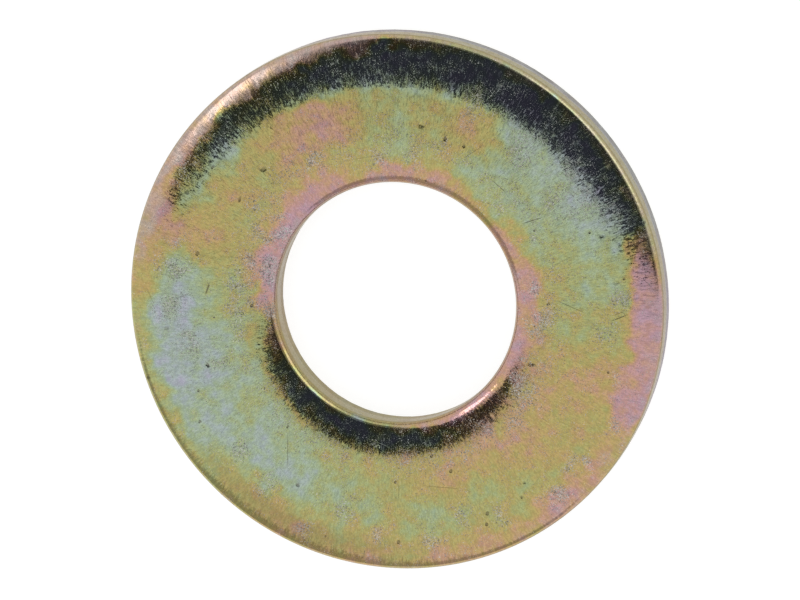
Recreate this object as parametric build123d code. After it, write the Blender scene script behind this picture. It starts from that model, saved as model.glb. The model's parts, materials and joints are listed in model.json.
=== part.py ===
from build123d import *
import math
import os

# Flat washer, 3/8 in wide series, stamped from steel strip and zinc plated.
#
# The washer is one piece of steel. A compound die cuts the rim and the bore in one stroke, so both edges
# of the upper face are drawn down into a wide die roll, and both lower edges are the break-out side. Each
# cut wall has a straight burnished land above a break-out zone that tapers away from the land. Tumbling
# then rounds every corner.
#
# Frame: +Z up, origin on the bore axis in the plane of the lower face, which is the face that it lies on.
# Units: millimetres, and degrees for angles.

# Driving dimensions
OUTSIDE_DIAMETER = 25.4
BORE_DIAMETER = 11.38
THICKNESS = 2.11

# Die roll on the upper face: how far it reaches in from the cut wall, and how far it drops at the wall
RIM_ROLL_WIDTH = 2.5
RIM_ROLL_DROP = 0.20
BORE_ROLL_WIDTH = 2.2
BORE_ROLL_DROP = 0.20

# The roll is an arc of an ellipse, from the ellipse's top, where it leaves the flat, down to an angle
# above the ellipse's level axis, where the wall cuts it off
ROLL_TOP_ANGLE = 90.0
ROLL_END_ANGLE = 20.0

# Corners rounded by tumbling
RIM_UPPER_RADIUS = 0.30
BORE_UPPER_RADIUS = 0.40
LOWER_RADIUS = 0.16

# Cut walls: where the straight land ends, as a height above the lower face, and how far the break-out
# zone below it has pulled away from the land by the time that it meets the lower face
LAND_END_HEIGHT = 0.95
BREAKOUT_SETBACK = 0.05

RIM = OUTSIDE_DIAMETER / 2
BORE = BORE_DIAMETER / 2


def roll_curve(wall_radius, width, drop, outward):
    """Die roll from the flat of the upper face down to a cut wall, as an elliptical arc.

    outward is +1 at the rim, where the wall is outside the flat, and -1 at the bore.
    """
    end = math.radians(ROLL_END_ANGLE)
    ellipse_x = width / math.cos(end)
    ellipse_z = drop / (1 - math.sin(end))
    centre = (wall_radius - outward * width, THICKNESS - ellipse_z)
    start_angle = ROLL_END_ANGLE if outward > 0 else ROLL_TOP_ANGLE
    sweep = ROLL_TOP_ANGLE - ROLL_END_ANGLE
    return EllipticalCenterArc(centre, ellipse_x, ellipse_z, start_angle, arc_size=sweep)


def cut_wall(wall_radius, drop, outward):
    """Straight land and tapered break-out zone of one cut wall, from the die roll to the lower face."""
    return Polyline(
        (wall_radius, THICKNESS - drop),
        (wall_radius, LAND_END_HEIGHT),
        (wall_radius - outward * BREAKOUT_SETBACK, 0),
    )


def section():
    """Half section of the washer, radius along X and height along Z."""
    corners = (
        ((RIM, THICKNESS - RIM_ROLL_DROP), RIM_UPPER_RADIUS),
        ((BORE, THICKNESS - BORE_ROLL_DROP), BORE_UPPER_RADIUS),
        ((RIM - BREAKOUT_SETBACK, 0), LOWER_RADIUS),
        ((BORE + BREAKOUT_SETBACK, 0), LOWER_RADIUS),
    )
    with BuildSketch(Plane.XZ) as sketch:
        with BuildLine():
            roll_curve(RIM, RIM_ROLL_WIDTH, RIM_ROLL_DROP, +1)
            cut_wall(RIM, RIM_ROLL_DROP, +1)
            Line((RIM - BREAKOUT_SETBACK, 0), (BORE + BREAKOUT_SETBACK, 0))
            cut_wall(BORE, BORE_ROLL_DROP, -1)
            roll_curve(BORE, BORE_ROLL_WIDTH, BORE_ROLL_DROP, -1)
            Line((BORE + BORE_ROLL_WIDTH, THICKNESS), (RIM - RIM_ROLL_WIDTH, THICKNESS))
        make_face()
        for corner, radius in corners:
            fillet(sketch.vertices().sort_by_distance((*corner, 0))[0], radius)
    return sketch.sketch


def washer():
    """The whole washer: its half section turned about the bore axis."""
    return revolve(section(), axis=Axis.Z)


os.makedirs("parts", exist_ok=True)
part = washer()
export_step(part, "parts/washer.step")
print(f"washer: volume {part.volume:.1f} mm3, size {part.bounding_box().size}")
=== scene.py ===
import json
import math
import random

import bpy
import numpy as np
from mathutils import Matrix, Vector, noise


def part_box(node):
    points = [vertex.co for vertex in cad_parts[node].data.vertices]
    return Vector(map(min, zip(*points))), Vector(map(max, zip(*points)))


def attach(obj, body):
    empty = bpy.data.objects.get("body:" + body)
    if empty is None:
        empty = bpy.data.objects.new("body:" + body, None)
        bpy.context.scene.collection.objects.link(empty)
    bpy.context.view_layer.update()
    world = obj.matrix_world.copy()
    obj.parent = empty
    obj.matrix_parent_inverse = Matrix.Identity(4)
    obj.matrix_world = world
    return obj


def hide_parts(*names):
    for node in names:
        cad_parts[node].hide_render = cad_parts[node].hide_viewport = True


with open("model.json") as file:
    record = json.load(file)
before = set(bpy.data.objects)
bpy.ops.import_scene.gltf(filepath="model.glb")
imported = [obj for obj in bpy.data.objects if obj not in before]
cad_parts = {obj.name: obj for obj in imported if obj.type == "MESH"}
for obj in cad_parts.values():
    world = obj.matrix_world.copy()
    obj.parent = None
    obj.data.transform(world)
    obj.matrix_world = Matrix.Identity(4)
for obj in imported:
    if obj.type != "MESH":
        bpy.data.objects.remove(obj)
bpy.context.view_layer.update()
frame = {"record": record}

# Flat washer, stamped from steel strip, tumbled, zinc plated and yellow chromated. It lies on its lower
# face, with the die rolls up. Lengths are in metres, and MM turns a size in millimetres into metres.
# Tables give places and sizes in millimetres, and angles in degrees anticlockwise from +X.

MM = 0.001

# ---------------------------------------------------------------- the washer's size, from the frame

WASHER_LOW, WASHER_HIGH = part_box("washer")
RIM = WASHER_HIGH.x
THICKNESS = WASHER_HIGH.z - WASHER_LOW.z
BORE = next(m for m in frame["record"]["mounts"] if m["name"] == "bore")["dims"]["r_mm"] * MM

# Section details, the same as the solid's: die rolls, tumbled corners and cut walls
RIM_ROLL = {"width": 2.5 * MM, "drop": 0.20 * MM, "corner": 0.30 * MM}
BORE_ROLL = {"width": 2.2 * MM, "drop": 0.20 * MM, "corner": 0.40 * MM}
ROLL_END = math.radians(20)
LOWER_CORNER = 0.16 * MM
LAND_END = 0.95 * MM
BREAKOUT_SETBACK = 0.05 * MM
FLAT_START = BORE + BORE_ROLL["width"]
FLAT_END = RIM - RIM_ROLL["width"]

# Mesh density: divisions round the washer, and rows of points along each stretch of the section
SEGMENTS = 560
FLAT_ROWS = 20
RIM_ROLL_ROWS = 28
BORE_ROLL_ROWS = 20
UPPER_CORNER_ROWS = 8
LAND_ROWS = 8
BREAKOUT_ROWS = 10
LOWER_CORNER_ROWS = 5
UNDER_ROWS = 48

# Halvings of the range in which the end of an upper corner is looked for
HALVINGS = 60

# How far up the surface faces, from -1 to 1, where each zone fades in and where it is complete
TOP_FACING = (0.2, 0.7)
UPWARD_FACING = (0.0, 0.3)
UNDER_FACING = (-0.5, -0.9)
WALL_FACING = (0.8, 0.3)
CORNER_FACING = 0.6
CORNER_SPREAD = 0.4

# ---------------------------------------------------------------- relief

# Each noise seed moves the noise by this many times its feature size
SEED_SHIFT = (17.3, -9.1, 5.7)

# Unevenness of each zone: size of its features, noise seed and depth in millimetres
RELIEF = (
    ("top", 2.6, 1, 0.0030),
    ("top", 0.9, 2, 0.0010),
    ("under", 2.0, 3, 0.0080),
    ("corner", 0.30, 15, 0.0044),
    ("fracture", 0.17, 5, 0.0140),
    ("fracture", 0.42, 6, 0.0100),
)

# Scoring down the land, as noise with features this many millimetres wide and tall
SCORING_WIDTH = 0.16
SCORING_HEIGHT = 1.2
SCORING_SEED = 4
SCORING_DEPTH = 0.0032 * MM

# The line between the land and the break-out zone wanders: size of each wave, noise seed and height.
# The dull part of the rim's wall reaches a little above it.
BREAK_LINE_WAVES = ((1.6, 16, 0.07), (0.5, 17, 0.03))
FRACTURE_BLEND = 0.08 * MM
DULL_WALL_TOP = 1.12 * MM
DULL_WALL_BLEND = 0.14 * MM

# Small dents: how many, how far from the bore and the rim they stay, and how dirty they are. Each gets a
# random length, width as a share of it, and depth.
DENT_SEED = 7
UPPER_DENTS = {"count": 60, "margin": 0.8, "hollow_dirt_and_shade": 0.25}
LOWER_DENTS = {"count": 120, "margin": 0.5, "hollow_dirt_and_shade": 0.50}
DENT_LENGTHS = (0.10, 0.30)
DENT_PROPORTIONS = (0.4, 0.9)
DENT_DEPTHS = (0.002, 0.007)
DENT_EDGE = 0.7

# ---------------------------------------------------------------- the plating's colours

# Interference colours of the chromate film, as its thickness goes up by one order
FILM_COLOURS = (
    (0.00, "#b1b1c0"),
    (0.12, "#a9b6b4"),
    (0.26, "#a7b899"),
    (0.40, "#acb37c"),
    (0.52, "#b6ac6d"),
    (0.64, "#c0a76e"),
    (0.76, "#c8a081"),
    (0.88, "#c69b97"),
    (1.00, "#be9ba8"),
)
RUBBED_CREAM = "#bdb0a2"
SPECK_DARK = "#6a6b66"
SPECK_LIGHT = "#e2e2de"
LAND_OLIVE = "#8c7f56"
WALL_DARK = "#6c6970"
WALL_LIGHT = "#9a98a1"
# Dark brown of the dirt in the dents and pits, and of the painted shade on the rim's die roll and in the
# scratches
DIRT_AND_SHADE_BROWN = "#5a4f42"

# ---------------------------------------------------------------- the film over the upper face

# Film thickness in orders: places, each with how far it reaches and the thickness there. Far from all of
# them the film has the base thickness, with a weight that is small beside a pool's, which is 1.
FILM_POOLS = (
    # gold and orange, with pink, from ten o'clock to noon
    (-6.0, 7.6, 1.5, 0.62), (-5.6, 9.2, 1.1, 0.64), (-4.4, 8.3, 0.9, 0.98), (-2.8, 8.6, 0.8, 0.94),
    (-3.5, 7.4, 0.8, 0.78), (-7.3, 5.6, 1.3, 0.50), (-9.0, 5.2, 1.1, 0.60), (-8.4, 3.6, 1.2, 0.54),
    (-9.4, 3.1, 0.7, 0.76), (-10.8, 4.0, 0.9, 0.84), (-7.8, 2.3, 1.0, 0.62), (-11.3, 2.2, 0.7, 0.60),
    (-4.9, 6.6, 0.8, 0.58), (-1.6, 9.4, 1.2, 0.50), (-1.0, 7.4, 0.9, 0.52), (-2.2, 7.0, 0.7, 0.50),
    # olive and gold from noon to one
    (0.8, 9.7, 1.1, 0.42), (0.6, 7.8, 0.8, 0.38), (2.2, 8.8, 1.0, 0.52), (3.6, 8.3, 0.9, 0.72),
    (4.5, 7.8, 0.5, 0.90), (1.6, 7.2, 0.8, 0.55), (3.6, 9.4, 0.8, 0.48),
    # green and grey green from one to three
    (5.6, 7.0, 1.4, 0.22), (7.0, 5.6, 1.5, 0.26), (4.6, 6.2, 0.8, 0.34), (8.4, 4.2, 1.4, 0.22),
    (9.6, 3.2, 1.0, 0.30), (6.6, 4.2, 0.8, 0.40), (9.6, 1.4, 1.0, 0.36), (7.8, 2.2, 0.9, 0.54),
    (9.4, 0.3, 0.6, 0.30),
    # yellow and orange from three to five
    (8.4, -0.6, 1.3, 0.50), (9.6, -1.6, 1.0, 0.48), (7.2, -3.2, 1.2, 0.69), (9.2, -3.6, 1.2, 0.66),
    (6.0, -5.0, 1.2, 0.68), (4.8, -6.2, 0.9, 0.78), (8.2, -5.4, 1.0, 0.60), (9.4, -6.4, 0.9, 0.48),
    (7.4, -7.6, 1.1, 0.50), (5.8, -7.2, 1.0, 0.60), (6.0, -9.2, 0.8, 0.52), (2.6, -7.4, 0.7, 0.74),
    # yellow, green and gold round six
    (2.6, -8.6, 1.2, 0.58), (4.6, -8.6, 0.9, 0.54), (4.4, -9.9, 0.7, 0.38), (0.8, -9.6, 1.0, 0.46),
    (1.0, -10.1, 0.5, 0.34), (2.4, -10.2, 0.9, 0.42), (-0.8, -7.9, 0.8, 0.62), (-1.4, -9.0, 0.9, 0.42),
    (0.8, -8.2, 0.7, 0.62), (-3.4, -7.3, 0.7, 0.50),
    # green, teal and blue grey from seven to nine
    (-3.8, -8.6, 1.1, 0.26), (-6.0, -6.6, 1.3, 0.22), (-5.6, -8.0, 0.8, 0.10), (-7.0, -6.0, 1.0, 0.20),
    (-8.6, -5.4, 1.2, 0.24), (-9.6, -4.0, 0.9, 0.06), (-7.8, -3.8, 1.0, 0.24), (-7.0, -4.8, 0.8, 0.30),
    (-9.9, -2.2, 1.0, 0.08), (-10.4, -0.6, 0.8, 0.04), (-10.2, 0.9, 0.8, 0.10), (-8.6, -1.2, 1.1, 0.28),
    (-7.2, -2.4, 0.7, 0.42), (-8.8, 0.8, 1.1, 0.42), (-6.6, -4.6, 0.6, 0.38), (-7.2, 0.0, 0.8, 0.40),
    (-4.6, -6.4, 0.7, 0.46), (-7.8, -8.0, 0.8, 0.40), (-4.6, -9.6, 0.9, 0.46),
)
POOL_SOFTNESS = 1.35
BASE_THICKNESS = 0.48
BASE_WEIGHT = 0.06

# Bands of film along the edges: where each starts and ends, its middle radius, width and thickness. A
# band weighs more than a pool, and fades out past its ends.
FILM_BANDS = (
    (15, 75, 6.0, 0.7, 0.74),
    (75, 125, 6.0, 0.9, 0.88),
    (125, 165, 6.1, 1.2, 1.00),
    (165, 200, 6.1, 0.9, 1.04),
    (190, 250, 6.9, 0.5, 0.66),
    (-78, -20, 5.9, 0.7, 0.97),
    (-30, 15, 6.1, 0.6, 0.84),
    (-50, -20, 11.9, 0.9, 0.88),
    (-20, 12, 12.0, 0.9, 0.98),
    (-80, -50, 12.2, 0.8, 0.76),
    (-130, -80, 12.4, 0.7, 0.66),
    (-185, -130, 12.4, 0.7, 0.48),
    (160, 175, 12.2, 0.7, 0.74),
    (110, 145, 12.4, 0.8, 0.88),
    (88, 110, 12.5, 0.7, 0.90),
    (145, 160, 12.4, 0.8, 0.80),
    (12, 88, 12.7, 0.6, 0.50),
    (20, 92, 11.3, 1.5, 0.06),
    (92, 138, 11.0, 1.1, 0.08),
    (138, 155, 10.7, 0.8, 0.14),
    (195, 285, 6.4, 0.7, 0.10),
    (195, 285, 5.7, 0.4, 0.55),
    (228, 290, 11.5, 1.1, 0.60),
    (-30, 30, 6.2, 0.9, 0.90),
)
BAND_WEIGHT = 1.5
BAND_FALLOFF = 0.60
BAND_END_FADE = 0.9

# The pools have ragged edges, so they are looked up a little to one side of each point: size of each
# sideways drift, how far it goes, and its noise seeds for X and Y
DRIFTS = ((0.8, 0.48, 11, 13), (0.3, 0.256, 12, 14))

# Film on the lower face: middle thickness, and waves with their size, seed and height
LOWER_THICKNESS = 0.52
LOWER_WAVES = ((4.5, 8, 0.50), (1.8, 9, 0.25))

# ---------------------------------------------------------------- wear and dirt

# Where tumbling has rubbed the film down to grey zinc: place, reach and strength
WORN_PLACES = (
    (-7.4, 0.9, 0.6, 0.8), (-6.7, 2.2, 0.5, 0.7), (-6.2, 3.2, 0.5, 0.8), (-5.5, 4.1, 0.5, 0.7),
    (-6.7, 0.0, 0.6, 0.6), (-7.6, -0.8, 0.5, 0.6), (-10.6, 1.4, 0.6, 0.8), (-10.7, -0.4, 0.8, 0.6),
    (-9.9, -2.0, 0.7, 0.6), (-10.2, 2.6, 0.4, 0.5), (-3.8, 6.6, 0.4, 0.7), (-0.6, 6.9, 0.7, 0.6),
    (1.0, 7.0, 0.7, 0.5), (0.3, 8.3, 0.6, 0.4), (6.2, 7.2, 0.9, 0.5), (6.7, 3.2, 0.4, 0.6),
    (6.6, 0.6, 0.5, 0.6), (6.9, -0.9, 0.7, 0.8), (6.5, -2.4, 0.5, 0.6), (6.1, -3.9, 0.6, 0.7),
    (10.6, 0.4, 0.5, 0.7), (10.0, -1.2, 0.6, 0.5), (10.7, -3.6, 0.4, 0.5), (10.3, -5.6, 0.5, 0.6),
    (7.6, -8.8, 0.5, 0.8), (8.2, -7.6, 0.4, 0.7), (8.9, -7.2, 0.3, 0.8), (3.0, -10.0, 0.5, 0.6),
    (4.9, -10.0, 0.4, 0.6), (1.6, -11.1, 0.6, 0.5), (-1.0, -11.0, 0.7, 0.5), (-2.6, -9.9, 0.7, 0.5),
    (-4.6, -11.0, 0.6, 0.5), (-6.2, -8.9, 0.7, 0.5), (-7.6, -7.2, 0.6, 0.6), (-8.4, -3.0, 0.7, 0.4),
    (4.2, -5.9, 0.5, 0.5), (1.8, -7.6, 0.5, 0.5), (-9.9, 5.9, 0.5, 0.4), (-7.6, 7.3, 0.5, 0.4),
    (3.8, 9.2, 0.4, 0.6), (4.5, 4.9, 0.4, 0.4), (7.9, 5.0, 0.9, 0.5), (9.3, 4.9, 0.8, 0.5),
    (8.2, 6.4, 0.8, 0.5), (4.0, 9.3, 0.8, 0.5), (-6.6, 1.6, 0.8, 0.6),
    (-6.0, 1.4, 0.7, 0.8), (-5.9, -0.4, 0.6, 0.8), (-5.3, 3.0, 0.6, 0.7),
)

# A ring of light wear round the bore: radius, width and strength
WORN_RING = (7.6, 0.6, 0.30)

# Patches of wear on the lower face: size, noise seed, gain and greatest strength
LOWER_WEAR = (1.6, 10, 1.6, 0.7)

# Stretches of the rim that are rubbed most: start and end, strength, and the radius where the rub
# starts. Each fades out over some degrees past its ends, and comes in over some millimetres of radius.
RUBBED_ARCS = ((100, 165, 0.9, 11.75), (15, 100, 0.9, 12.2), (-60, 15, 0.35, 11.9))
RUB_END_FADE = 12
RUB_BLEND = 0.4

# Light rub all along the rim and the bore's edge: strength, and the radii where it starts and is full
RIM_RUB = (0.35, 12.2, 12.6)
BORE_RUB = (0.45, 6.1, 5.75)

# Painted shade, darkening the rim's die roll from seven to nine o'clock: strength, radius, width, angle,
# spread
RIM_PAINTED_SHADE = (0.64, 11.8, 0.8, 245, 34)

# The largest pits in the upper face: place, length, width, turn, and depth as a share of the deepest
PITS = (
    (-6.08, 6.31, 0.38, 0.26, 20, 1.0), (-7.25, 4.88, 0.34, 0.18, 70, 0.9),
    (-5.67, 8.30, 0.22, 0.11, -50, 0.6), (2.60, 7.90, 0.28, 0.22, 100, 1.0),
    (3.48, 7.57, 0.23, 0.18, 80, 1.0), (-5.90, 1.72, 0.20, 0.15, 80, 1.0),
    (-7.50, 0.72, 0.20, 0.13, 20, 0.8), (-8.97, -3.06, 0.30, 0.20, -30, 1.0),
    (-4.78, -8.70, 0.22, 0.20, 0, 1.0), (7.34, 0.20, 0.20, 0.16, 40, 0.8),
    (-10.90, -1.33, 0.34, 0.22, 20, 0.6), (1.67, -10.60, 0.34, 0.14, 30, 0.6),
    (6.06, -8.34, 0.16, 0.12, 60, 0.8), (5.90, -9.03, 0.22, 0.09, -60, 0.8),
)

# Small pits all over: cell size, the random value above which a cell holds one, and the largest radius
# and blend as shares of the cell
SMALL_PIT_CELL = 0.85 * MM
SMALL_PIT_CHANCE = 0.55
SMALL_PIT_RADIUS = 0.13
SMALL_PIT_BLEND = 0.03

# Fine scratches across the upper face: two ends, width, and depth as a share of the deepest
SCRATCHES = (
    (6.05, 3.90, 7.15, 4.26, 0.050, 1.0),
    (-8.78, 0.92, -9.06, 0.18, 0.110, 1.0),
    (10.25, -0.60, 11.10, -0.26, 0.050, 1.0),
    (10.30, -0.36, 10.95, -0.10, 0.036, 0.7),
    (7.60, 0.38, 9.20, -0.30, 0.034, 0.6),
    (-5.22, -6.00, -5.28, -8.20, 0.060, 0.7),
    (0.06, -8.30, 0.00, -9.60, 0.044, 0.6),
    (-1.70, -6.36, -0.26, -6.88, 0.044, 0.8),
    (-0.30, 11.30, 0.80, 11.90, 0.040, 0.8),
    (-11.90, 0.60, -11.50, -0.30, 0.060, 0.5),
    (4.60, 6.10, 5.50, 5.30, 0.036, 0.6),
    (-3.20, -9.20, -1.50, -8.00, 0.036, 0.4),
    (0.80, -8.60, 3.40, -8.75, 0.030, 0.5),
    (-2.50, 6.70, 0.40, 7.20, 0.060, 0.4),
    (3.30, 6.90, 4.40, 7.60, 0.036, 0.4),
    (-5.10, -6.90, -4.20, -6.30, 0.030, 0.4),
)

# Share of a pit's or scratch's half width that its floor takes up, and how ragged the pits' outlines are
HOLLOW_FLOOR = 0.4
PIT_RAGGEDNESS = 0.05 * MM

# How far painted shade darkens the scratches, and how far dirt covers the pits
SCRATCH_PAINTED_SHADE = 0.72
PIT_DIRT = 0.56

# ---------------------------------------------------------------- the finish

# Tumbling marks, combed round the bore's axis, and facets. The real ones are a few hundredths of a
# millimetre across, so these are about half as coarse again to show.
MARKS_PER_RADIAN = 220.0
MARK_LENGTH = 0.17 * MM
MARK_HEIGHT = 0.09 * MM
FACET_SIZE = 0.060 * MM

# A random lean from -0.5 to 0.5 tips each of them. The first number times the lean gives most of the
# slope, and the second times its cube tips the few steepest ones further.
CELL_TILTS = {"mark": (0.018, 0.02), "facet": (0.011, 0.02)}
LEVEL_CELL = (0.5, 0.5, 0.5)

# The flat, which the die didn't stretch, keeps this share of the tilt, and the rest comes in over this
# distance along each die roll
FLAT_TILT = 0.40
TILT_BLEND = 0.35 * MM

# Noise patterns: size of a feature and detail. The real specks of bare zinc are mostly too fine to show,
# so they are drawn as coarse as they need to be.
PATTERNS = {"specks": (0.055, 1.5), "grain": (0.20, 1.0), "clouds": (0.62, 1.0), "mottle": (1.5, 1.5)}
PATTERN_ROUGHNESS = 0.6

# How far each pattern moves the film's thickness, in orders, from its least to its most
FILM_SWINGS = {"mottle": 0.40, "clouds": 0.44, "grain": 0.10, "mark_film": 0.04, "facet_film": 0.02}

# Rub, and the dirt and painted shade, where their covers start and where they are full
RUB_RANGE = (0.1, 0.6)
DIRT_AND_SHADE_RANGE = (0.2, 1.0)

# Wear where specks start to crowd and where they are densest, the noise above which a speck shows at
# each of them, and how soft its outline is
SPECK_WEAR = (0.42, 1.25)
SPECK_LEAST = (0.66, 0.42)
SPECK_EDGE = 0.05

# Darkest and lightest shade of a mark or facet, and the random number where the lightest is reached
SHADES = (0.86, 1.10)
SHADE_END = 0.45

# Share of the film's colour that each kind of wear, and the dirt with its painted shade, covers at most
RUB_COVER = 0.80
SPECK_COVER = 0.75
WALL_COVER = 0.85
DIRT_AND_SHADE_COVER = 0.50

# Streaks along the torn wall: how long and how tall, their detail, and where they are dark and light
STREAK_LENGTH = 0.9 * MM
STREAK_HEIGHT = 0.16 * MM
STREAK_DETAIL = 2.0
STREAK_RANGE = (0.30, 0.75)

# Height of the plating's grain, and the depth of the deepest scratch and pit as multiples of it
GRAIN_HEIGHT = 0.0006 * MM
SCRATCH_DEPTH = 2.0
PIT_DEPTH = 8.0

# Roughness of the film over its cloudy patches, and what each kind of wear adds to it
CLOUD_RANGE = (0.3, 0.7)
FILM_ROUGHNESS = (0.045, 0.08)
ADDED_ROUGHNESS = {"wall": 0.22, "fracture": 0.14, "edge": 0.10, "bare": 0.28, "scuffed": 0.16}
SCUFFED_POWER = 5.0

# ---------------------------------------------------------------- camera and stage

# The camera leans by VIEW_TILT from straight above, towards VIEW_LEAN, and aims a little to the right of
# and above the middle of the upper face
VIEW_TILT = math.radians(16.2)
VIEW_LEAN = math.radians(42.6)
VIEW_DISTANCE = 0.46606
AIM_RIGHT = 0.2657 * MM
AIM_ABOVE = 0.1911 * MM
LENS_MM = 450
SENSOR_MM = 36

# The floor is grey paper that glows enough to come out white
WHITE = "#ffffff"
FLOOR_HALF = 1.5
FLOOR_GREY = "#a0a0a0"
FLOOR_ROUGHNESS = 0.9
FLOOR_GLOW = 0.8
TENT_GLOW = 0.9

# Level cards above the washer: name, height in metres, colour, strength, and corners as shares of the
# height. A lower card hides the ones above it.
STAGE_CARDS = (
    (
        "dark_opening", 0.70, "#62626c", 0.36,
        ((-0.435, -0.115), (-0.27, -0.145), (0.56, -0.145), (0.60, 0.62), (-0.35, 0.62), (-0.33, 0.14)),
    ),
    ("dim_side", 0.72, WHITE, 0.38, ((0.50, -0.14), (1.30, -0.20), (1.30, 0.70), (0.50, 0.70))),
    ("dim_end", 0.74, WHITE, 0.20, ((-0.34, 0.55), (1.30, 0.55), (1.30, 1.50), (-0.34, 1.50))),
    ("strip_light", 0.60, WHITE, 2.9, ((-0.47, -0.005), (-0.38, 0.08), (-0.86, 0.66), (-0.95, 0.57))),
    ("dim_front", 0.66, WHITE, 0.70, ((-0.80, -0.30), (0.30, -0.80), (0.80, -1.80), (-1.70, -0.76))),
    ("dim_corner", 0.62, WHITE, 0.48, ((-0.83, -0.34), (0.28, -0.86), (2.4, -6.0), (-6.0, -2.4))),
)

# An upright card beside the washer: two feet, the heights of its edges, and strength
LOW_LIGHT_FEET = ((0.62, 0.20), (0.28, 0.60))
LOW_LIGHT_HEIGHTS = (0.06, 0.45)
LOW_LIGHT_STRENGTH = 1.8


def linear(hex_colour):
    """Linear RGBA of an sRGB hex colour."""
    parts = [int(hex_colour[i : i + 2], 16) / 255 for i in (1, 3, 5)]
    return [p / 12.92 if p <= 0.04045 else ((p + 0.055) / 1.055) ** 2.4 for p in parts] + [1.0]


# ---------------------------------------------------------------- the section


def roll_and_corner(wall, width, drop, corner, outward, rows):
    """Points down a die roll and round its corner, from the flat of the upper face to the cut wall.

    outward is 1 at the rim and -1 at the bore. The height where the corner ends comes back as well.
    """
    across = width / math.cos(ROLL_END)
    down = drop / (1 - math.sin(ROLL_END))
    centre = (wall - outward * width, THICKNESS - down)

    def corner_centre(t):
        steepness = math.atan2(down * math.cos(t), across * math.sin(t))
        x = across * math.cos(t) - corner * math.sin(steepness)
        z = down * math.sin(t) - corner * math.cos(steepness)
        return x, z, steepness

    # Halve the range again and again, until the corner just touches the cut wall
    low, high = 0.0, math.pi / 2
    for _ in range(HALVINGS):
        middle = (low + high) / 2
        if corner_centre(middle)[0] > width - corner:
            low = middle
        else:
            high = middle
    x, z, start = corner_centre(high)
    points = []
    for t in np.linspace(math.pi / 2, high, rows, endpoint=False):
        points.append((centre[0] + outward * across * math.cos(t), centre[1] + down * math.sin(t)))
    for a in np.linspace(start, math.pi / 2, UPPER_CORNER_ROWS, endpoint=False):
        reach = x + corner * math.sin(a)
        points.append((centre[0] + outward * reach, centre[1] + z + corner * math.cos(a)))
    return points, centre[1] + z


def cut_wall(wall, land_top, outward):
    """Points down the land and the break-out zone and round the lower corner, to the lower face.

    The radius where the lower face starts comes back as well.
    """
    taper = math.atan2(BREAKOUT_SETBACK, LAND_END)
    inset = BREAKOUT_SETBACK * (LAND_END - LOWER_CORNER) / LAND_END + LOWER_CORNER / math.cos(taper)
    centre = wall - outward * inset
    toe = (centre + outward * LOWER_CORNER * math.cos(taper), LOWER_CORNER * (1 - math.sin(taper)))
    points = [(wall, z) for z in np.linspace(land_top, LAND_END, LAND_ROWS, endpoint=False)]
    for f in np.linspace(0, 1, BREAKOUT_ROWS, endpoint=False):
        points.append((wall + (toe[0] - wall) * f, LAND_END + (toe[1] - LAND_END) * f))
    for a in np.linspace(-taper, -math.pi / 2, LOWER_CORNER_ROWS, endpoint=False):
        points.append((centre + outward * LOWER_CORNER * math.cos(a), LOWER_CORNER * (1 + math.sin(a))))
    return points, centre


def section():
    """The washer's half section as a closed loop of (radius, height), clockwise from the bore's die roll."""
    rim_top, rim_land = roll_and_corner(RIM, **RIM_ROLL, outward=1, rows=RIM_ROLL_ROWS)
    bore_top, bore_land = roll_and_corner(BORE, **BORE_ROLL, outward=-1, rows=BORE_ROLL_ROWS)
    rim_wall, rim_foot = cut_wall(RIM, rim_land, 1)
    bore_wall, bore_foot = cut_wall(BORE, bore_land, -1)
    upper = [(r, THICKNESS) for r in np.linspace(FLAT_START, FLAT_END, FLAT_ROWS, endpoint=False)]
    under = [(r, 0.0) for r in np.linspace(rim_foot, bore_foot, UNDER_ROWS)]
    bore_side = (bore_top + bore_wall)[:0:-1]
    return np.array(upper + rim_top + rim_wall + under + bore_side)


# ---------------------------------------------------------------- the washer, point by point


def noise_at(places, size, seed):
    """Smooth noise between -1 and 1 at each place, with features of the given size."""
    shift = Vector([seed * part for part in SEED_SHIFT])
    return np.array([noise.noise(Vector(p) / size + shift) for p in places])


def waves(places, table):
    """Sum of waves of noise, each with a size in millimetres, a noise seed and a height."""
    return sum(height * noise_at(places, size * MM, seed) for size, seed, height in table)


def sunk(places, size, seed, depth):
    """Uneven relief of the given depth, which never stands above the true surface."""
    return depth * (noise_at(places, size, seed) - 1) / 2


def slope(values, start, end):
    """0 at the start, 1 at the end and level beyond both. The end can be lower than the start."""
    return np.clip((values - start) / (end - start), 0, 1)


def hump(values, middle, width):
    """A smooth hump: 1 at the middle, falling away on both sides."""
    return np.exp(-(((values - middle) / width) ** 2))


def past_arc(angle, start, end):
    """How many degrees each angle lies past the ends of an arc, or below 0 inside it."""
    return np.abs((angle - (start + end) / 2 + 180) % 360 - 180) - (end - start) / 2


def zones_of(places, out, up):
    """How far each point belongs to each zone of the surface, from 0 to 1."""
    wall = slope(np.abs(up), *WALL_FACING)
    above_break = places[:, 2] - MM * waves(places, BREAK_LINE_WAVES)
    fracture = wall * slope(above_break, LAND_END, LAND_END - FRACTURE_BLEND)
    dull = wall * slope(above_break, DULL_WALL_TOP, DULL_WALL_TOP - DULL_WALL_BLEND)
    return {
        "top": slope(up, *TOP_FACING),
        "under": slope(up, *UNDER_FACING),
        "upward": slope(up, *UPWARD_FACING),
        "corner": slope(np.abs(up - CORNER_FACING), CORNER_SPREAD, 0),
        "wall": wall,
        "fracture": fracture,
        "land": wall - fracture,
        "rim_wall": dull * (out > 0),
    }


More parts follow.
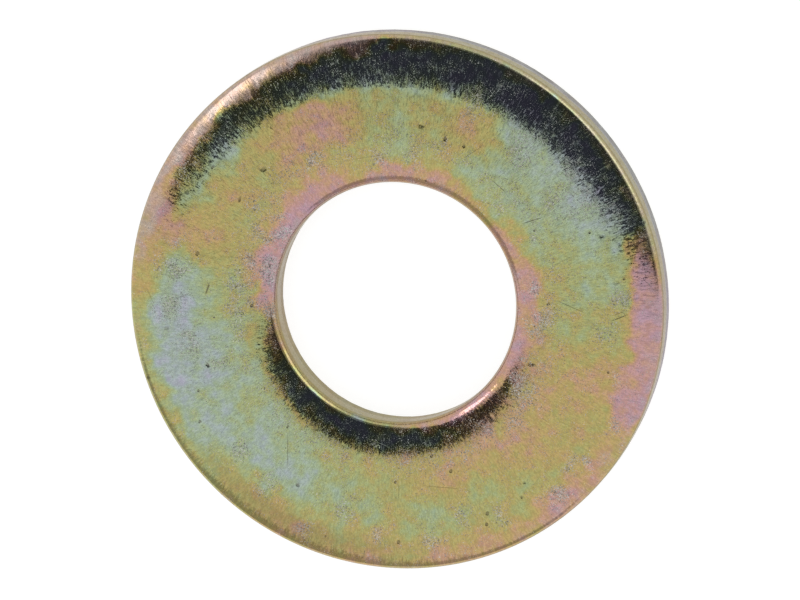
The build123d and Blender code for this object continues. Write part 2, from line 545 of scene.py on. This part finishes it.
def dents_over(x, y, generator, count, margin, hollow_dirt_and_shade):
    """Relief of seeded small dents over a face, and the dirt that stays in them."""
    relief = np.zeros_like(x)
    dirt_and_shade = np.zeros_like(x)
    inner = BORE / MM + margin
    outer = RIM / MM - margin
    for _ in range(count):
        radius = math.sqrt(generator.uniform(inner**2, outer**2)) * MM
        angle = generator.uniform(0, 2 * math.pi)
        length = generator.uniform(*DENT_LENGTHS) * MM
        width = length * generator.uniform(*DENT_PROPORTIONS)
        turn = math.radians(generator.uniform(0, 180))
        depth = generator.uniform(*DENT_DEPTHS) * MM
        dx = x - radius * math.cos(angle)
        dy = y - radius * math.sin(angle)
        along = (dx * math.cos(turn) + dy * math.sin(turn)) / (length / 2)
        across = (dy * math.cos(turn) - dx * math.sin(turn)) / (width / 2)
        dent = np.exp(-DENT_EDGE * (along**2 + across**2) ** 2)
        relief -= dent * depth
        dirt_and_shade = np.maximum(dirt_and_shade, dent * hollow_dirt_and_shade)
    return relief, dirt_and_shade


def rim_painted_shade(x, y):
    """Painted shade that darkens the rim's die roll from seven to nine o'clock."""
    strength, middle, width, direction, spread = RIM_PAINTED_SHADE
    angle = np.degrees(np.arctan2(y, x)) % 360
    return strength * hump(np.hypot(x, y) / MM, middle, width) * hump(angle, direction, spread)


def relief_dirt_and_shade(places, zones):
    """Relief over every zone, which only ever goes inwards, with the dirt in its dents and the painted shade
    on the rim's die roll.
    """
    x, y, z = places.T
    relief = np.zeros_like(x)
    # Painted shade on the rim's die roll, then the dirt that stays in the dents
    dirt_and_shade = rim_painted_shade(x, y) * zones["upward"]
    for zone, size, seed, depth in RELIEF:
        relief += sunk(places, size * MM, seed, depth * MM) * zones[zone]
    generator = random.Random(DENT_SEED)
    for zone, dents in (("top", UPPER_DENTS), ("under", LOWER_DENTS)):
        dented, hollow_dirt_and_shade = dents_over(x, y, generator, **dents)
        relief += dented * zones[zone]
        dirt_and_shade = np.maximum(dirt_and_shade, hollow_dirt_and_shade * zones[zone])
    squeezed = np.stack([x / SCORING_WIDTH, y / SCORING_WIDTH, z / SCORING_HEIGHT], 1)
    relief += sunk(squeezed, MM, SCORING_SEED, SCORING_DEPTH) * zones["land"]
    return relief, dirt_and_shade


def film_thickness(x, y):
    """Film thickness over the upper face, in orders, blended from its pools and bands."""
    radius = np.hypot(x, y)
    angle = np.degrees(np.arctan2(y, x))
    weight = np.full_like(x, BASE_WEIGHT)
    total = weight * BASE_THICKNESS
    for cx, cy, reach, film in FILM_POOLS:
        share = np.exp(-((x - cx) ** 2 + (y - cy) ** 2) / (POOL_SOFTNESS * reach) ** 2)
        weight += share
        total += share * film
    for start, end, middle, width, film in FILM_BANDS:
        beyond = np.radians(np.maximum(past_arc(angle, start, end), 0)) * radius
        share = BAND_WEIGHT * hump(radius, middle, width * BAND_FALLOFF) * hump(beyond, 0, BAND_END_FADE)
        weight += share
        total += share * film
    return total / weight


def worn_amount(x, y):
    """How far the film is rubbed away over the upper face, from 0 to 1."""
    middle, width, strength = WORN_RING
    worn = strength * hump(np.hypot(x, y), middle, width)
    for cx, cy, reach, strength in WORN_PLACES:
        worn = np.maximum(worn, strength * hump(np.hypot(x - cx, y - cy), 0, reach))
    return worn


def edge_rub(x, y):
    """How far tumbling has rubbed the film along the rim and the bore's edge, from 0 to 1."""
    radius = np.hypot(x, y)
    angle = np.degrees(np.arctan2(y, x))
    rub = 0.0
    for strength, start, full in (RIM_RUB, BORE_RUB):
        rub = rub + strength * slope(radius, start, full)
    for start, end, strength, inner in RUBBED_ARCS:
        along = slope(past_arc(angle, start, end), RUB_END_FADE, 0)
        rub = np.maximum(rub, strength * along * slope(radius, inner, inner + RUB_BLEND))
    return rub


def finish_facts(places, radius, angle, zones, dirt_and_shade):
    """What the finish needs to know at each point: its film, wear, dirt and painted shade, as named
    attributes.
    """
    x = radius * np.cos(angle) / MM
    y = radius * np.sin(angle) / MM
    for size, reach, x_seed, y_seed in DRIFTS:
        x = x + reach * noise_at(places, size * MM, x_seed)
        y = y + reach * noise_at(places, size * MM, y_seed)
    under = zones["under"]
    lower_film = np.clip(LOWER_THICKNESS + waves(places, LOWER_WAVES), 0, 1)
    size, seed, gain, most = LOWER_WEAR
    lower_wear = np.clip(gain * noise_at(places, size * MM, seed), 0, most)
    off_flat = np.maximum(FLAT_START - radius, radius - FLAT_END)
    return {
        "film": film_thickness(x, y) * (1 - under) + lower_film * under,
        "worn": worn_amount(x, y) * zones["top"] + lower_wear * under,
        "dirt_and_shade": dirt_and_shade,
        "edge": edge_rub(x, y) * zones["upward"],
        "wall": zones["wall"],
        "fracture": zones["fracture"],
        "rim_wall": zones["rim_wall"],
        "stretched": FLAT_TILT + (1 - FLAT_TILT) * slope(off_flat, 0, TILT_BLEND),
    }


def section_facing(profile):
    """Which way the surface faces at each point of the section, as its parts outwards and upwards."""
    step = np.roll(profile, -1, 0) - np.roll(profile, 1, 0)
    facing = np.stack([-step[:, 1], step[:, 0]], 1) / np.hypot(*step.T)[:, None]
    # The section starts on the flat of the upper face, which faces up
    return facing * np.sign(facing[0, 1])


def washer_mesh():
    """The washer as one closed mesh, with its relief, and the facts of its finish as attributes."""
    profile = section()
    rows = len(profile)
    angle = np.repeat(np.linspace(0, 2 * math.pi, SEGMENTS, endpoint=False), rows)
    radius, height = (np.tile(part, SEGMENTS) for part in profile.T)
    out, up = (np.tile(part, SEGMENTS) for part in section_facing(profile).T)
    places = np.stack([radius * np.cos(angle), radius * np.sin(angle), height], 1)
    zones = zones_of(places, out, up)
    relief, dirt_and_shade = relief_dirt_and_shade(places, zones)
    radius = radius + relief * out
    height = height + relief * up
    shown = np.stack([radius * np.cos(angle), radius * np.sin(angle), height], 1)

    index = np.arange(SEGMENTS * rows).reshape(SEGMENTS, rows)
    next_turn = np.roll(index, -1, 0)
    corners = [index, next_turn, np.roll(next_turn, -1, 1), np.roll(index, -1, 1)]
    mesh = bpy.data.meshes.new("washer_plated")
    mesh.from_pydata(shown.tolist(), [], np.stack(corners, -1).reshape(-1, 4).tolist())
    mesh.polygons.foreach_set("use_smooth", [True] * len(mesh.polygons))
    for name, values in finish_facts(places, radius, angle, zones, dirt_and_shade).items():
        attribute = mesh.attributes.new(name, "FLOAT", "POINT")
        attribute.data.foreach_set("value", values.astype(np.float32))
    mesh.validate()
    mesh.update()
    return mesh


# ---------------------------------------------------------------- the finish


def add(tree, kind, inputs=None, **settings):
    """Adds one node. inputs gives each socket, by name or number, a value or another node's output."""
    made = tree.nodes.new(kind)
    for name, value in settings.items():
        setattr(made, name, value)
    for name, value in (inputs or {}).items():
        if isinstance(value, bpy.types.NodeSocket):
            tree.links.new(value, made.inputs[name])
        else:
            made.inputs[name].default_value = value
    return made


def covered(tree, colour, layers):
    """A colour under layers, each of them a cover from 0 to 1 and a colour."""
    for cover, over in layers:
        sockets = {"Factor": cover, 6: colour, 7: over}
        colour = add(tree, "ShaderNodeMix", sockets, data_type="RGBA").outputs[2]
    return colour


def combed(tree, place):
    """Coordinates for marks that are combed round the bore's axis.

    A unit circle times the number of marks per radian leaves no seam, and the third coordinate follows
    the radius and the height.
    """
    parts = add(tree, "ShaderNodeSeparateXYZ", {0: place}).outputs
    level = add(tree, "ShaderNodeCombineXYZ", {0: parts[0], 1: parts[1]}).outputs[0]
    radius = add(tree, "ShaderNodeVectorMath", {0: level}, operation="LENGTH").outputs["Value"]
    direction = add(tree, "ShaderNodeVectorMath", {0: level}, operation="NORMALIZE").outputs[0]
    sockets = {0: direction, "Scale": MARKS_PER_RADIAN}
    across = add(tree, "ShaderNodeVectorMath", sockets, operation="SCALE").outputs[0]
    outward = add(tree, "ShaderNodeMath", {0: radius, 1: 1 / MARK_LENGTH}, operation="MULTIPLY").outputs[0]
    sockets = {0: parts[2], 1: 1 / MARK_HEIGHT, 2: outward}
    along = add(tree, "ShaderNodeMath", sockets, operation="MULTIPLY_ADD").outputs[0]
    rise = add(tree, "ShaderNodeCombineXYZ", {2: along}).outputs[0]
    return add(tree, "ShaderNodeVectorMath", {0: across, 1: rise}, operation="ADD").outputs[0]


def patterns_over(tree, place):
    """Noise over the surface, and for each tumbling mark and facet its lean and three random numbers."""
    cells = {
        "mark": {"Vector": combed(tree, place), "Scale": 1.0},
        "facet": {"Vector": place, "Scale": 1 / FACET_SIZE},
    }
    found = {}
    for name, sockets in cells.items():
        found[name] = add(tree, "ShaderNodeTexVoronoi", sockets).outputs["Color"]
        numbers = add(tree, "ShaderNodeSeparateXYZ", {0: found[name]}).outputs
        for use, number in zip(("wear", "shade", "film"), numbers):
            found[f"{name}_{use}"] = number
    for name, (size, detail) in PATTERNS.items():
        sockets = {"Vector": place, "Scale": 1 / (size * MM), "Detail": detail}
        sockets["Roughness"] = PATTERN_ROUGHNESS
        found[name] = add(tree, "ShaderNodeTexNoise", sockets).outputs["Fac"]
    return found


def film_colour(tree, thickness, patterns):
    """The film's colour, from its thickness and how far each pattern swings it."""
    for name, swing in FILM_SWINGS.items():
        sockets = {0: patterns[name], 1: swing, 2: -swing / 2}
        part = add(tree, "ShaderNodeMath", sockets, operation="MULTIPLY_ADD").outputs[0]
        thickness = add(tree, "ShaderNodeMath", {0: thickness, 1: part}, operation="ADD").outputs[0]
    film = add(tree, "ShaderNodeValToRGB", {"Fac": thickness})
    stops = film.color_ramp.elements
    while len(stops) < len(FILM_COLOURS):
        stops.new(1.0)
    for stop, (position, colour) in zip(stops, FILM_COLOURS):
        stop.position = position
        stop.color = linear(colour)
    return film.outputs["Color"]


def rubbed_cover(tree, edge, patterns):
    """How far rubbed edges and corners are pale, in cloudy patches."""
    rub = add(tree, "ShaderNodeMath", {0: patterns["clouds"], 1: edge}, operation="MULTIPLY").outputs[0]
    sockets = {"Value": rub, "From Min": RUB_RANGE[0], "From Max": RUB_RANGE[1], "To Max": RUB_COVER}
    return add(tree, "ShaderNodeMapRange", sockets).outputs[0]


def bare_specks(tree, worn, patterns):
    """Specks of bare zinc: a few all over, and crowds of them where the film is worn."""
    worn = add(tree, "ShaderNodeMath", {0: patterns["clouds"], 1: worn}, operation="ADD").outputs[0]
    sockets = {
        "Value": worn,
        "From Min": SPECK_WEAR[0],
        "From Max": SPECK_WEAR[1],
        "To Min": SPECK_LEAST[0],
        "To Max": SPECK_LEAST[1],
    }
    least = add(tree, "ShaderNodeMapRange", sockets).outputs[0]
    sockets = {0: patterns["specks"], 1: least}
    above = add(tree, "ShaderNodeMath", sockets, operation="SUBTRACT").outputs[0]
    return add(tree, "ShaderNodeMapRange", {"Value": above, "From Max": SPECK_EDGE}).outputs[0]


def wall_colour(tree, place, torn):
    """Dull olive of the burnished land, and streaky grey lilac where the rim's wall is torn."""
    sockets = {"Vector": place, "Scale": (1 / STREAK_LENGTH, 1 / STREAK_LENGTH, 1 / STREAK_HEIGHT)}
    streak_place = add(tree, "ShaderNodeMapping", sockets).outputs[0]
    sockets = {"Vector": streak_place, "Scale": 1.0, "Detail": STREAK_DETAIL}
    streaks = add(tree, "ShaderNodeTexNoise", sockets).outputs["Fac"]
    sockets = {"Value": streaks, "From Min": STREAK_RANGE[0], "From Max": STREAK_RANGE[1]}
    streaks = add(tree, "ShaderNodeMapRange", sockets).outputs[0]
    grey = covered(tree, linear(WALL_DARK), [(streaks, linear(WALL_LIGHT))])
    return covered(tree, linear(LAND_OLIVE), [(torn, grey)])


def cell_shade(tree, colour, patterns):
    """The colour, a little darker or lighter from one mark and facet to the next."""
    sockets = {0: patterns["mark_shade"], 1: patterns["facet_shade"]}
    shade = add(tree, "ShaderNodeMath", sockets, operation="MULTIPLY").outputs[0]
    sockets = {"Value": shade, "From Max": SHADE_END, "To Min": SHADES[0], "To Max": SHADES[1]}
    shade = add(tree, "ShaderNodeMapRange", sockets).outputs[0]
    return add(tree, "ShaderNodeVectorMath", {0: colour, "Scale": shade}, operation="SCALE").outputs[0]


def hollows(tree, level, ovals):
    """How deep each point lies in a list of oval hollows, from 0 to each one's own depth."""
    deepest = None
    for cx, cy, length, width, turn, depth in ovals:
        sockets = {
            "Vector": level,
            "Location": (cx * MM, cy * MM, 0.0),
            "Rotation": (0.0, 0.0, math.radians(turn)),
            "Scale": (length / 2 * MM, width / 2 * MM, 1.0),
        }
        local = add(tree, "ShaderNodeMapping", sockets, vector_type="TEXTURE").outputs[0]
        off = add(tree, "ShaderNodeVectorMath", {0: local}, operation="LENGTH").outputs["Value"]
        sockets = {"Value": off, "From Min": 1.0, "From Max": HOLLOW_FLOOR, "To Max": depth}
        hollow = add(tree, "ShaderNodeMapRange", sockets).outputs[0]
        if deepest is not None:
            hollow = add(tree, "ShaderNodeMath", {0: deepest, 1: hollow}, operation="MAXIMUM").outputs[0]
        deepest = hollow
    return deepest


def scratches_and_pits(tree, place, patterns):
    """How deep each point lies in the scratches, and how deep in the pits."""
    level = add(tree, "ShaderNodeVectorMath", {0: place, 1: (1.0, 1.0, 0.0)}, operation="MULTIPLY").outputs[0]
    ovals = []
    for x0, y0, x1, y1, width, depth in SCRATCHES:
        turn = math.degrees(math.atan2(y1 - y0, x1 - x0))
        ovals.append(((x0 + x1) / 2, (y0 + y1) / 2, math.hypot(x1 - x0, y1 - y0), width, turn, depth))
    scratched = hollows(tree, level, ovals)

    sockets = {0: patterns["facet"], "Scale": PIT_RAGGEDNESS}
    shift = add(tree, "ShaderNodeVectorMath", sockets, operation="SCALE").outputs[0]
    ragged = add(tree, "ShaderNodeVectorMath", {0: level, 1: shift}, operation="ADD").outputs[0]
    large = hollows(tree, ragged, PITS)

    cells = add(tree, "ShaderNodeTexVoronoi", {"Vector": place, "Scale": 1 / SMALL_PIT_CELL}).outputs
    chance = add(tree, "ShaderNodeSeparateXYZ", {0: cells["Color"]}).outputs[0]
    sockets = {"Value": chance, "From Min": SMALL_PIT_CHANCE, "From Max": 1.0, "To Max": SMALL_PIT_RADIUS}
    radius = add(tree, "ShaderNodeMapRange", sockets).outputs[0]
    inside = add(tree, "ShaderNodeMath", {0: radius, 1: cells["Distance"]}, operation="SUBTRACT").outputs[0]
    small = add(tree, "ShaderNodeMapRange", {"Value": inside, "From Max": SMALL_PIT_BLEND}).outputs[0]
    pitted = add(tree, "ShaderNodeMath", {0: large, 1: small}, operation="MAXIMUM").outputs[0]
    return scratched, pitted


def bumped(tree, scratched, pitted, patterns):
    """The surface's facing, with the plating's grain, scratches and pits."""
    height = patterns["grain"]
    for hollow, depth in ((scratched, SCRATCH_DEPTH), (pitted, PIT_DEPTH)):
        sockets = {0: hollow, 1: -depth, 2: height}
        height = add(tree, "ShaderNodeMath", sockets, operation="MULTIPLY_ADD").outputs[0]
    sockets = {"Strength": 1.0, "Distance": GRAIN_HEIGHT, "Height": height}
    return add(tree, "ShaderNodeBump", sockets).outputs[0]


def tipped_by_cells(tree, facing, stretched, patterns):
    """The facing, tipped by each tumbling mark and facet by its own small angle."""
    tilt = (0.0, 0.0, 0.0)
    for name, (small, large) in CELL_TILTS.items():
        sockets = {0: patterns[name], 1: LEVEL_CELL}
        lean = add(tree, "ShaderNodeVectorMath", sockets, operation="SUBTRACT").outputs[0]
        square = add(tree, "ShaderNodeVectorMath", {0: lean, 1: lean}, operation="MULTIPLY").outputs[0]
        sockets = {0: square, 1: (large, large, large), 2: (small, small, small)}
        share = add(tree, "ShaderNodeVectorMath", sockets, operation="MULTIPLY_ADD").outputs[0]
        sockets = {0: lean, 1: share, 2: tilt}
        tilt = add(tree, "ShaderNodeVectorMath", sockets, operation="MULTIPLY_ADD").outputs[0]
    tilt = add(tree, "ShaderNodeVectorMath", {0: tilt, "Scale": stretched}, operation="SCALE").outputs[0]
    tipped = add(tree, "ShaderNodeVectorMath", {0: facing, 1: tilt}, operation="ADD").outputs[0]
    return add(tree, "ShaderNodeVectorMath", {0: tipped}, operation="NORMALIZE").outputs[0]


def film_roughness(tree, wear, patterns):
    """Roughness of the film in its cloudy patches, and what each kind of wear adds to it."""
    sockets = {
        "Value": patterns["clouds"],
        "From Min": CLOUD_RANGE[0],
        "From Max": CLOUD_RANGE[1],
        "To Min": FILM_ROUGHNESS[0],
        "To Max": FILM_ROUGHNESS[1],
    }
    roughness = add(tree, "ShaderNodeMapRange", sockets).outputs[0]
    for name, amount in ADDED_ROUGHNESS.items():
        sockets = {0: wear[name], 1: amount, 2: roughness}
        roughness = add(tree, "ShaderNodeMath", sockets, operation="MULTIPLY_ADD").outputs[0]
    return roughness


def yellow_chromated_zinc():
    """Zinc plate with a yellow chromate film on stamped steel.

    The zinc is bright from its bath and then tumbled, which covers it with fine flat marks. Each mark
    tips its own little facet of the surface, so a reflection's edge looks combed and the face glitters.
    The film on it is thinner than a wavelength of light, so its colour runs through grey, green, yellow,
    orange and pink as its thickness changes. Where tumbling has rubbed through it, the zinc shows as
    light and dark grey specks.
    """
    material = bpy.data.materials.new("yellow_chromated_zinc")
    material.use_nodes = True
    tree = material.node_tree
    tree.nodes.clear()
    place = add(tree, "ShaderNodeTexCoord").outputs["Object"]
    facts = {}
    for name in ("film", "worn", "dirt_and_shade", "fracture", "wall", "edge", "rim_wall", "stretched"):
        facts[name] = add(tree, "ShaderNodeAttribute", attribute_name=name).outputs["Fac"]
    patterns = patterns_over(tree, place)

    bare = bare_specks(tree, facts["worn"], patterns)
    zinc_grey = covered(tree, linear(SPECK_DARK), [(patterns["facet_wear"], linear(SPECK_LIGHT))])
    speck_cover = add(tree, "ShaderNodeMath", {0: bare, 1: SPECK_COVER}, operation="MULTIPLY").outputs[0]
    sockets = {0: facts["wall"], 1: WALL_COVER}
    wall_cover = add(tree, "ShaderNodeMath", sockets, operation="MULTIPLY").outputs[0]
    # Cover of the dirt in the dents and of the painted shade on the rim's die roll
    sockets = {
        "Value": facts["dirt_and_shade"],
        "From Min": DIRT_AND_SHADE_RANGE[0],
        "From Max": DIRT_AND_SHADE_RANGE[1],
        "To Max": DIRT_AND_SHADE_COVER,
    }
    dirt_and_shade_cover = add(tree, "ShaderNodeMapRange", sockets).outputs[0]
    layers = [
        (rubbed_cover(tree, facts["edge"], patterns), linear(RUBBED_CREAM)),
        (speck_cover, zinc_grey),
        (wall_cover, wall_colour(tree, place, facts["rim_wall"])),
        (dirt_and_shade_cover, linear(DIRT_AND_SHADE_BROWN)),
    ]
    colour = covered(tree, film_colour(tree, facts["film"], patterns), layers)
    colour = cell_shade(tree, colour, patterns)

    scratched, pitted = scratches_and_pits(tree, place, patterns)
    # Painted shade in the scratches, and dirt in the pits
    for hollow, amount in ((scratched, SCRATCH_PAINTED_SHADE), (pitted, PIT_DIRT)):
        hollow_dirt_and_shade = add(tree, "ShaderNodeMath", {0: hollow, 1: amount}, operation="MULTIPLY").outputs[0]
        colour = covered(tree, colour, [(hollow_dirt_and_shade, linear(DIRT_AND_SHADE_BROWN))])
    facing = bumped(tree, scratched, pitted, patterns)
    facing = tipped_by_cells(tree, facing, facts["stretched"], patterns)

    sockets = {0: patterns["mark_wear"], 1: SCUFFED_POWER}
    scuffed = add(tree, "ShaderNodeMath", sockets, operation="POWER").outputs[0]
    roughness = film_roughness(tree, {**facts, "bare": bare, "scuffed": scuffed}, patterns)
    sockets = {"Base Color": colour, "Metallic": 1.0, "Roughness": roughness, "Normal": facing}
    shader = add(tree, "ShaderNodeBsdfPrincipled", sockets)
    add(tree, "ShaderNodeOutputMaterial", {"Surface": shader.outputs[0]})
    return material


# ---------------------------------------------------------------- camera, floor and lights


def camera():
    """A long lens above the washer, leaning towards half past one and rolled so that +Y is up."""
    level = Vector((math.cos(VIEW_LEAN), math.sin(VIEW_LEAN), 0))
    side = Vector((-math.sin(VIEW_LEAN), math.cos(VIEW_LEAN), 0))
    z = Vector((0, 0, 1))
    sight = level * math.sin(VIEW_TILT) + z * math.cos(VIEW_TILT)
    tipped = level * math.cos(VIEW_TILT) - z * math.sin(VIEW_TILT)
    right = tipped * level.x - side * level.y
    above = tipped * level.y + side * level.x
    aim = z * THICKNESS + right * AIM_RIGHT + above * AIM_ABOVE
    data = bpy.data.cameras.new("camera")
    data.sensor_width = SENSOR_MM
    data.lens = LENS_MM
    made = bpy.data.objects.new("camera", data)
    bpy.context.scene.collection.objects.link(made)
    matrix = Matrix((right, above, sight)).transposed().to_4x4()
    matrix.translation = aim + sight * VIEW_DISTANCE
    made.matrix_world = matrix
    bpy.context.scene.camera = made


def stage_sheet(name, corners, material):
    """A flat sheet of the stage from its corners, in metres."""
    mesh = bpy.data.meshes.new(name)
    mesh.from_pydata(corners, [], [tuple(range(len(corners)))])
    mesh.materials.append(material)
    made = bpy.data.objects.new(name, mesh)
    bpy.context.scene.collection.objects.link(made)
    return made


def card(name, corners, colour, strength):
    """A glowing card that shows only in reflections."""
    material = bpy.data.materials.new(name)
    material.use_nodes = True
    tree = material.node_tree
    tree.nodes.clear()
    glow = add(tree, "ShaderNodeEmission", {"Color": linear(colour), "Strength": strength})
    add(tree, "ShaderNodeOutputMaterial", {"Surface": glow.outputs[0]})
    made = stage_sheet(name, corners, material)
    made.visible_camera = False
    made.visible_diffuse = False
    made.visible_shadow = False


def floor():
    """Matt paper under the washer, lit through from below so that it is white and even."""
    material = bpy.data.materials.new("matt_white_paper")
    material.use_nodes = True
    paper = material.node_tree.nodes["Principled BSDF"].inputs
    paper["Base Color"].default_value = linear(FLOOR_GREY)
    paper["Roughness"].default_value = FLOOR_ROUGHNESS
    paper["Emission Color"].default_value = linear(WHITE)
    paper["Emission Strength"].default_value = FLOOR_GLOW
    far = FLOOR_HALF
    stage_sheet("floor", [(-far, -far, 0), (far, -far, 0), (far, far, 0), (-far, far, 0)], material)


def studio():
    """A pale light tent, with a dark opening above the washer, dim cards round it and two soft lights."""
    world = bpy.data.worlds.new("tent")
    bpy.context.scene.world = world
    world.use_nodes = True
    background = world.node_tree.nodes["Background"].inputs
    background["Color"].default_value = linear(WHITE)
    background["Strength"].default_value = TENT_GLOW
    for name, height, colour, strength, corners in STAGE_CARDS:
        card(name, [(x * height, y * height, height) for x, y in corners], colour, strength)
    left, right = LOW_LIGHT_FEET
    low, high = LOW_LIGHT_HEIGHTS
    card("low_light", [(*left, low), (*right, low), (*right, high), (*left, high)], WHITE, LOW_LIGHT_STRENGTH)


camera()
floor()
studio()

washer = bpy.data.objects.new("plated_washer", washer_mesh())
bpy.context.scene.collection.objects.link(washer)
washer.data.materials.append(yellow_chromated_zinc())
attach(washer, "root")
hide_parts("washer")

bpy.context.scene.view_settings.view_transform = "Standard"
